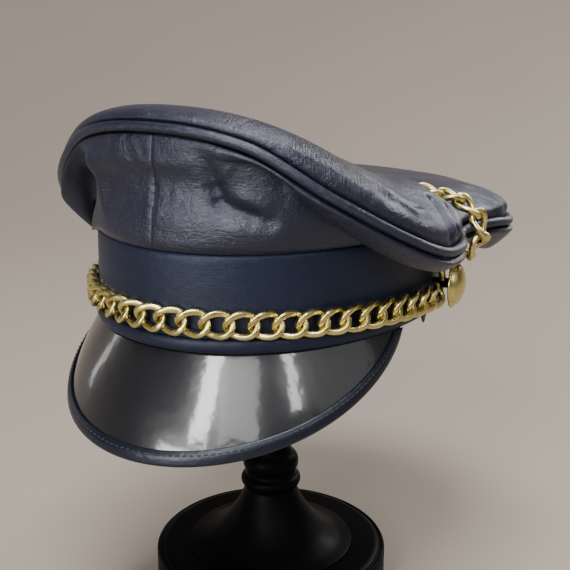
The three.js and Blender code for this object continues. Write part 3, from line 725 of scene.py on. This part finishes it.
def curb_link(pitch):
    """Loops of one link of a curb chain, lying nearly flat: an oval of wire with a twist, so that it goes
    over its neighbour on one side and under it on the other."""
    wire = CHAIN.wire
    reach, half = (CHAIN.length - wire) / 2, (CHAIN.width - wire) / 2
    crossing = math.acos(pitch / 2 / reach)
    lift = (wire + LINK.clearance) / 2 / math.sin(2 * crossing)
    a = circle(LINK.segments)
    centre = np.stack([reach * np.cos(a), half * np.sin(a), -lift * np.sin(2 * a)], -1)
    along = unit(np.stack([-reach * np.sin(a), half * np.cos(a), -2 * lift * np.cos(2 * a)], -1))
    side = unit(np.cross(UP, along))
    up = np.cross(along, side)
    b = circle(LINK.sides)
    power = 2 / LINK.squareness
    u = np.sign(np.cos(b)) * np.abs(np.cos(b)) ** power
    v = np.sign(np.sin(b)) * np.abs(np.sin(b)) ** power
    shrink = 1 / max(np.hypot(u, v))
    thick = wire / 2 * LINK.fullness * math.sqrt(shrink)
    u, v = u * thick, v * thick
    return centre[:, None] + side[:, None] * u[None, :, None] + up[:, None] * v[None, :, None]


def chain(name, route, beside, replaced):
    """Chain of links at even steps along a route. Beside is across both the route and the chain's face."""
    length = run_along(route)
    total = length[-1]
    count = round(total / CHAIN.pitch)
    one = curb_link(total / count)
    size = one.shape[0] * one.shape[1]
    points, faces = [], []
    for i in range(count):
        at = (i + 0.5) / count * total
        places = [[np.interp(x, length, route[:, k]) for k in range(3)] for x in (at, at - 1, at + 1)]
        centre, before, after = np.array(places)
        along = unit(after - before)
        out = unit(np.cross(along, beside))
        placed = centre + one @ np.stack([along, np.cross(out, along), out])
        faces += grid_faces(*one.shape[:2], first=i * size, wrap_rows=True, wrap_columns=True)
        points.append(placed.reshape(-1, 3))
    return make_object(name, np.concatenate(points), faces, replaced)


def front_chain():
    share = np.linspace(-1, 1, FRONT_PLACE.points)
    point, out = on_band(share * FRONT_PLACE.sweep)
    off = mix(FRONT_PLACE.stand_off, FRONT_PLACE.end_stand_off, share**4)
    route = point + out * off[:, None]
    route[:, 2] = mix(FRONT_PLACE.height, FRONT_PLACE.end_height, share**2)
    return chain("front_links", route, UP, "front_chain")


def crown_chain():
    rise = np.stack([column(CHAIN_RISE, key) for key in ("across", "along", "height")], -1)
    share = CROWN_PLACE.reach * np.linspace(1, -1, 2 * CROWN_PLACE.steps + 1)
    flat = top_point(np.where(share < 0, -NOTCH, NOTCH), np.abs(share)) + CROWN_PLACE.stand_off * UP
    fall = (rise * [-1, 1, 1])[::-1]
    route = through(np.concatenate([rise, flat, fall])[:, None], CROWN_PLACE.points)[:, 0]
    return chain("crown_links", route, [0, -1, 0], "crown_chain")


# Buttons and tabs


def turned(name, outline, replaced, centre, axis, sides=TURN.sides):
    """Body turned from an outline of radius and height that starts and ends on the axis."""
    radius, height = np.array(outline[1:-1], float).T[:, :, None]
    a = circle(sides)
    loops = np.stack([radius * np.cos(a), radius * np.sin(a), height + 0 * a], -1)
    ends = np.array([[0, 0, outline[0][1]], [0, 0, outline[-1][1]]])
    points = np.concatenate([loops.reshape(-1, 3), ends])
    turn = np.array(Vector(UP).rotation_difference(Vector(axis)).to_matrix())
    points = points @ turn.T + np.asarray(centre, float)
    rows = len(outline) - 2
    faces = grid_faces(rows, sides, wrap_columns=True) + fans(rows * sides, sides)
    return make_object(name, points, faces, replaced)


def button(side):
    radius, rim, shank, off = BUTTON.radius, BUTTON.rim, BUTTON.shank, BUTTON.stand_off
    inset, foot = BUTTON_DOME.inset, BUTTON_DOME.foot
    outline = [(0, GAP), (shank, GAP), (shank, off), (radius - rim, off)]
    outline += [(radius + out, off + up * rim) for out, up in BUTTON_RIM]
    rise = BUTTON.dome + (1 - foot) * rim
    for a in np.linspace(BUTTON_DOME.start, math.pi / 2, BUTTON_DOME.steps)[:-1]:
        outline.append(((radius - inset) * math.cos(a), off + rim * foot + rise * math.sin(a)))
    outline.append((0, off + rim + BUTTON.dome))
    point, out = on_band(BUTTON.sweep)
    flip = np.array([side, 1, 1])
    name = SIDE_NAMES[side]
    centre = (point + BUTTON.height * UP) * flip
    piece, replaced = f"dome_button_{name}", f"button_{name}"
    return turned(piece, outline, replaced, centre, out * flip, BUTTON.sides)


def tab(side):
    """Pointed leather tab that hangs inside the band, soft at its edges."""
    width, wall, top = TAB.width, TAB.wall, TAB.top
    across = np.linspace(-1, 1, TAB.columns)
    foot = mix(TAB.foot, TAB.shoulder, np.abs(across) ** TAB.point)
    down = np.linspace(0, 1, TAB.rows)[:, None]
    up = mix(top, foot[None, :], down)
    edge = np.minimum(smooth(1, TAB.soft_side, np.abs(across))[None, :], smooth(1, TAB.soft_foot, down))
    half = wall / 2 * mix(TAB.thin, 1, edge)
    point, out = on_band(TAB.sweep)
    beside = np.array([-out[1], out[0], 0])
    middle = -BAND.wall - GAP - width**2 / 8 / BAND.half_width - wall / 2
    flat = point + beside * (across[None, :, None] * width / 2) + np.stack([0 * up, 0 * up, up], -1)
    front = flat + out * (middle + half)[..., None]
    back = flat + out * (middle - half)[..., None]
    loops = np.concatenate([front, back[:, ::-1]], axis=1) * [side, 1, 1]
    name = SIDE_NAMES[side]
    return ring_body(f"hanging_tab_{name}", loops, f"side_tab_{name}", closed=False)


# Stitches


def stitches(name, centres, along, out, size):
    """Row of short sewn stitches: small rounded pills that lie half sunk in the leather."""
    sides, rings = PILL.sides, PILL.rings
    points, faces = [], []
    t = np.linspace(-1, 1, rings)
    fat = np.sqrt(1 - (PILL.taper * t) ** 2)
    b = circle(sides)
    for centre, way, face in zip(centres, along, out):
        way, face = unit(way), unit(face)
        beside = np.cross(way, face)
        ring = beside * np.cos(b)[:, None] + face * np.sin(b)[:, None]
        pill = centre + way * (size.length / 2 * t)[:, None, None]
        pill = pill + ring[None] * (size.thread * fat)[:, None, None]
        first = len(points) * rings * sides
        faces += grid_faces(rings, sides, first=first, wrap_columns=True)
        last = first + (rings - 1) * sides
        faces += [list(range(first, first + sides)), list(range(last, last + sides))]
        points.append(pill.reshape(-1, 3))
    return make_object(name, np.concatenate(points), faces)


def seam_stitches():
    """Stitches up both sides of the front seam."""
    away = SEAM_STITCH.beside * PER_DEGREE
    centres, along, out = [], [], []
    for side in (1, -1):
        angle = np.full(1, side * SEAM_STITCH.beside)
        section = through(side_controls(angle), LEATHER.side_rows)[:, 0]
        length = run_along(section)
        last = length[-1] - SEAM_STITCH.below_top
        for at in np.arange(SEAM_STITCH.above_foot, last, SEAM_STITCH.pitch):
            radius, height = (np.interp(at, length, section[:, k]) for k in (0, 1))
            sunk = radius - SEAM_STITCH.sunk - seam_dip(away)
            centres.append(polar(angle[0], np.array(sunk), height))
            along.append(UP)
            out.append(polar(angle[0], np.array(1.0), 0.0))
    return stitches("seam_stitches", centres, along, out, SEAM_STITCH)


def edge_stitches():
    """Stitches along the peak's binding, near its inner edge."""
    turn = np.linspace(-math.pi / 2, math.pi / 2, EDGE_STITCH.samples)
    section = peak_section(PEAK.end * np.sin(turn))
    width = section.width
    start = binding_start(width)
    inset = np.minimum(EDGE_STITCH.inset, (width - start) / 2)
    line = on_peak(section, start + inset, np.full_like(width, GAP + BINDING.wall * EDGE_STITCH.above))
    length = run_along(line)
    places = np.arange(EDGE_STITCH.ends, length[-1] - EDGE_STITCH.ends, EDGE_STITCH.pitch)
    index = np.searchsorted(length, places)
    along = line[index + 1] - line[index - 1]
    return stitches("edge_stitches", line[index], along, section.face[index], EDGE_STITCH)


# Stand


def rounded_outline(outline):
    """Outline with its corners eased, run through as a smooth curve between its ends on the axis."""
    points = np.array(outline, float)
    inner = []
    for before, corner, after in zip(points[:-2], points[1:-1], points[2:]):
        reach = min(np.linalg.norm(before - corner), np.linalg.norm(after - corner)) * TURN.reach
        start, end = corner + reach * unit(before - corner), corner + reach * unit(after - corner)
        for t in np.linspace(0, 1, TURN.steps):
            inner.append((1 - t) ** 2 * start + 2 * t * (1 - t) * corner + t**2 * end)
    return [tuple(points[0]), *map(tuple, inner), tuple(points[-1])]


def stand():
    rows = [
        ("base_disc", BASE_OUTLINE, "stand_base"),
        ("turned_column", COLUMN_OUTLINE, "stand_column"),
        ("head_pad", PAD_OUTLINE, "stand_pad"),
    ]
    for name, outline, replaced in rows:
        yield turned(name, rounded_outline(outline), replaced, -PLACE, UP)


# Camera, light and floor


def camera():
    back = towards(VIEW.azimuth, VIEW.elevation)
    data = bpy.data.cameras.new("camera")
    data.sensor_width = SENSOR
    data.lens = SENSOR * VIEW.focal / PHOTO
    data.shift_x = (PHOTO / 2 - VIEW.x) / PHOTO
    data.shift_y = (VIEW.y - PHOTO / 2) / PHOTO
    data.clip_start = 0.01
    obj = added("camera", data)
    obj.location = (Vector(PLACE) + back * VIEW.distance) * MM
    obj.rotation_euler = back.to_track_quat("Z", "Y").to_euler()
    bpy.context.scene.camera = obj


# Soft lights: direction from the cap as azimuth and elevation, distance, width and height in metres, power.
LIGHTS = table("name azimuth elevation distance width height power", [
    ("key", 20, 72, 1.6, 0.6, 0.5, 40),
    ("window", 10, 30, 2.0, 0.32, 1.0, 26),
    ("low_window", -5, 6, 2.0, 0.9, 0.5, 27),
    ("wide_window", 31, 30, 2.0, 0.8, 1.0, 12),
    ("strip", 66, 33, 2.0, 0.16, 0.75, 6),
    ("left_strip", -84, 8, 2.0, 0.14, 1.0, 1.5),
    ("right_fill", 94, 26, 2.0, 1.2, 1.1, 2.6),
    ("back", 165, 28, 1.8, 0.7, 0.7, 18),
    ("overhead", 168, 64, 1.8, 0.9, 0.5, 22),
])
WORLD = Sizes(colour=(0.80, 0.80, 0.80, 1), strength=0.05)


def lights():
    middle = Vector(PLACE) * MM
    for row in LIGHTS:
        way = towards(row["azimuth"], row["elevation"])
        data = bpy.data.lights.new(row["name"], "AREA")
        data.shape = "RECTANGLE"
        data.size, data.size_y = row["width"], row["height"]
        data.energy = row["power"]
        obj = added(row["name"], data)
        obj.location = middle + way * row["distance"]
        obj.rotation_euler = way.to_track_quat("Z", "Y").to_euler()
        obj.visible_camera = False
    world = bpy.data.worlds.new("studio")
    bpy.context.scene.world = world
    world.use_nodes = True
    background = world.node_tree.nodes["Background"]
    background.inputs["Color"].default_value = WORLD.colour
    background.inputs["Strength"].default_value = WORLD.strength


# Round floor that curves up into a backdrop, in metres. Its middle lies nearer to the camera than the cap.
BOWL = Sizes(nearer=1.3, flat=2.2, round=1.2, top=4.0, steps=20, sides=96)


def floor():
    middle = BOWL.nearer * np.array(towards(VIEW.azimuth, 0))
    bend = np.linspace(0, math.pi / 2, BOWL.steps)
    radius = np.array([*(BOWL.flat + BOWL.round * np.sin(bend)), BOWL.flat + BOWL.round])
    height = np.array([*(BOWL.round * (1 - np.cos(bend))), BOWL.top])
    turn = circle(BOWL.sides)
    loops = [radius[:, None] * np.cos(turn), radius[:, None] * np.sin(turn), height[:, None] + 0 * turn]
    points = middle + np.stack(loops, -1).reshape(-1, 3)
    faces = grid_faces(len(radius), BOWL.sides, wrap_columns=True)
    mesh = bpy.data.meshes.new("floor")
    mesh.from_pydata(points.tolist(), [], [list(range(BOWL.sides)), *faces])
    mesh.polygons.foreach_set("use_smooth", [True] * len(mesh.polygons))
    obj = added("floor", mesh)
    return obj


# Materials

# Sockets of Blender's mix node, which have no names of their own.
FACTOR, FLOAT_A, FLOAT_B, COLOUR_A, COLOUR_B = 0, 2, 3, 6, 7
FLOAT_OUT, COLOUR_OUT = 0, 2
# Most of a noise lies between these.
NOISE_SPAN = (0.3, 0.7)

# Grain of the leather, as noise scales, with the streaks' along and across the lay.
GRAIN = Sizes(slow=26, fine=480, pebble=1150, crease=95, streaks=(150, 1300, 1))
# How far wear makes the leather smoother and rougher, and the painted shade of the recess: near-black, rough.
WEAR = Sizes(smoother=0.12, rougher=0.14)
SHADED_HOLLOW = Sizes(colour=(0.001, 0.0015, 0.006, 1), roughness=0.9)
SHEEN = Sizes(roughness=0.45, tint=(0.55, 0.62, 0.9, 1))
GREY_GLOSS = (0.87, 0.89, 1, 1)
BLUE_GLOSS = (0.82, 0.88, 1, 1)
# The three leathers: their colours, how rough they are, height of their grain and streaks, sheen and gloss.
LEATHERS = table("name dark light roughness grain streak sheen gloss tint", [
    ("crown_leather", (0.003, 0.0035, 0.01), (0.006, 0.007, 0.018), 0.32, 1.35, 0.38, 0.03, 0.52, GREY_GLOSS),
    ("band_leather", (0.003, 0.005, 0.013), (0.006, 0.009, 0.022), 0.46, 0.6, 0.1, 0.02, 0.28, BLUE_GLOSS),
    ("binding_leather", (0.002, 0.003, 0.007), (0.004, 0.005, 0.011), 0.33, 0.5, 0.08, 0.0, 0.42, BLUE_GLOSS),
])


def new_material(name, colour, roughness, metallic=0.0):
    """Material with its principled shader, and the place on the object that its noises read."""
    material = bpy.data.materials.new(name)
    material.use_nodes = True
    settle(material, Base_Color=(*colour, 1), Roughness=roughness, Metallic=metallic)
    return material, node(material, "ShaderNodeTexCoord").outputs["Object"]


def settle(material, **values):
    """Sets what is the same all over the surface, on the shader's own sockets."""
    for name, value in values.items():
        material.node_tree.nodes["Principled BSDF"].inputs[name.replace("_", " ")].default_value = value


def link(material, output, name):
    """Leads a node's output to one of the shader's sockets."""
    material.node_tree.links.new(output, material.node_tree.nodes["Principled BSDF"].inputs[name])


def node(material, kind, inputs=None, **settings):
    made = material.node_tree.nodes.new(kind)
    for key, value in settings.items():
        setattr(made, key, value)
    for key, value in (inputs or {}).items():
        if isinstance(value, bpy.types.NodeSocket):
            material.node_tree.links.new(value, made.inputs[key])
        else:
            made.inputs[key].default_value = value
    return made


def noise(material, place, scale, **more):
    return node(material, "ShaderNodeTexNoise", {"Vector": place, "Scale": scale, **more}).outputs["Fac"]


def bumps(material, rows):
    """Chain of bumps, each a height, a strength and a depth in metres. Gives the last one's normal."""
    normal = None
    for height, strength, depth in rows:
        inputs = {"Height": height, "Strength": strength, "Distance": depth}
        if normal:
            inputs["Normal"] = normal
        normal = node(material, "ShaderNodeBump", inputs).outputs[0]
    link(material, normal, "Normal")
    return normal


def mixed_colour(material, share, low, high):
    """Output of a mix of two colours, each of them four numbers or another node's output."""
    inputs = {FACTOR: share, COLOUR_A: low, COLOUR_B: high}
    return node(material, "ShaderNodeMix", inputs, data_type="RGBA").outputs[COLOUR_OUT]


def blend(material, share, low, high):
    link(material, mixed_colour(material, share, (*low, 1), (*high, 1)), "Base Color")


def vary(material, share, low, high):
    span = {"From Min": NOISE_SPAN[0], "From Max": NOISE_SPAN[1], "To Min": low, "To Max": high}
    link(material, node(material, "ShaderNodeMapRange", {"Value": share, **span}).outputs[0], "Roughness")


def leather(name, dark, light, roughness, grain, streak, sheen, gloss, tint):
    """Fine-grained leather: pebbles, short creases, fine streaks along its lay, uneven colour and gloss, and
    painted shade where its shade mark is set.
    """
    material, place = new_material(name, light, roughness)
    slow = noise(material, place, GRAIN.slow, Detail=4, Roughness=0.6)
    fine = noise(material, place, GRAIN.fine, Detail=6, Roughness=0.72)
    cells = {"Vector": place, "Scale": GRAIN.pebble}
    pebble = node(material, "ShaderNodeTexVoronoi", cells, feature="DISTANCE_TO_EDGE")
    crease = noise(material, place, GRAIN.crease, Detail=5, Roughness=0.6, Distortion=1.6)
    lay = node(material, "ShaderNodeUVMap", uv_map="lay").outputs["UV"]
    drawn = node(material, "ShaderNodeMapping", {"Vector": lay, "Scale": GRAIN.streaks}).outputs[0]
    streaks = noise(material, drawn, 1, Detail=3, Roughness=0.55, Distortion=0.3)
    gather = node(material, "ShaderNodeAttribute", attribute_name="gather").outputs["Fac"]
    drawn_up = node(material, "ShaderNodeMath", {0: streaks, 1: gather}, operation="MULTIPLY").outputs[0]
    # Painted shade: behind the crease the leather is darkened to near-black and made rough, for the shade of
    # the recess.
    shade = node(material, "ShaderNodeAttribute", attribute_name="shade").outputs["Fac"]
    dyed = mixed_colour(material, slow, (*dark, 1), (*light, 1))
    link(material, mixed_colour(material, shade, dyed, SHADED_HOLLOW.colour), "Base Color")
    worn = {"Value": fine, "To Min": roughness - WEAR.smoother, "To Max": roughness + WEAR.rougher}
    rubbed = node(material, "ShaderNodeMapRange", worn).outputs[0]
    inputs = {FACTOR: shade, FLOAT_A: rubbed, FLOAT_B: SHADED_HOLLOW.roughness}
    link(material, node(material, "ShaderNodeMix", inputs).outputs[FLOAT_OUT], "Roughness")
    rows = [
        (crease, 0.35 * grain, 0.0016),
        (streaks, streak, 0.0006),
        (drawn_up, 1.0, 0.0022),
        (fine, 0.3 * grain, 0.0006),
        (pebble.outputs["Distance"], 0.28 * grain, 0.0004),
    ]
    bumps(material, rows)
    settle(material, Specular_IOR_Level=gloss, Specular_Tint=tint)
    settle(material, Sheen_Weight=sheen, Sheen_Roughness=SHEEN.roughness, Sheen_Tint=SHEEN.tint)
    return material


def patent(name):
    """Patent leather: deep black under a clear coat, with faint waves in the gloss."""
    material, place = new_material(name, (0.006, 0.0065, 0.008), 0.3)
    wave = noise(material, place, 24, Detail=1, Roughness=0.4)
    ripple = noise(material, place, 110, Detail=2, Roughness=0.5)
    link(material, bumps(material, [(wave, 0.3, 0.004), (ripple, 0.16, 0.001)]), "Coat Normal")
    vary(material, noise(material, place, 9, Detail=5), 0.24, 0.36)
    settle(material, Coat_Weight=1.0, Coat_Roughness=0.1)
    return material


def gilt(name):
    """Polished gilt metal, stained darker and duller in places."""
    material, place = new_material(name, (0.72, 0.6, 0.3), 0.24, 1.0)
    stain = noise(material, place, 190, Detail=4)
    blend(material, stain, (0.38, 0.31, 0.10), (0.78, 0.68, 0.30))
    vary(material, stain, 0.2, 0.36)
    bumps(material, [(stain, 0.12, 0.0006)])
    return material


def lacquer(name):
    """Black satin lacquer on turned wood."""
    material, place = new_material(name, (0.0015, 0.0015, 0.002), 0.4)
    dust = noise(material, place, 60, Detail=6)
    vary(material, dust, 0.34, 0.5)
    bumps(material, [(dust, 0.05, 0.0006)])
    settle(material, Specular_IOR_Level=0.03)
    return material


def plain(name, low, high, roughness):
    """Plain matt surface with a faint unevenness."""
    material, place = new_material(name, high, roughness)
    blend(material, noise(material, place, 3, Detail=4), low, high)
    return material


def give(obj, material):
    obj.data.materials.clear()
    obj.data.materials.append(material)


camera()
lights()

crown_leather, band_leather, binding_leather = (leather(**row) for row in LEATHERS)
thread = plain("thread", (0.03, 0.031, 0.036), (0.06, 0.06, 0.07), 0.7)
black_thread = plain("black_thread", (0.003, 0.003, 0.005), (0.006, 0.006, 0.009), 0.6)
patent_black = patent("patent_black")
gilt_metal = gilt("gilt_metal")
stand_black = lacquer("stand_black")
floor_plain = plain("floor_plain", (0.215, 0.182, 0.15), (0.24, 0.203, 0.168), 0.9)

give(crown_top(), crown_leather)
for half in (1, -1):
    give(crown_side(half), crown_leather)
    give(button(half), gilt_metal)
    give(tab(half), band_leather)
give(piping(), crown_leather)
give(band(), band_leather)
give(welt(), band_leather)
give(peak(), patent_black)
give(binding(), binding_leather)
give(front_chain(), gilt_metal)
give(crown_chain(), gilt_metal)
give(seam_stitches(), thread)
give(edge_stitches(), black_thread)
for turned_piece in stand():
    give(turned_piece, stand_black)
give(floor(), floor_plain)
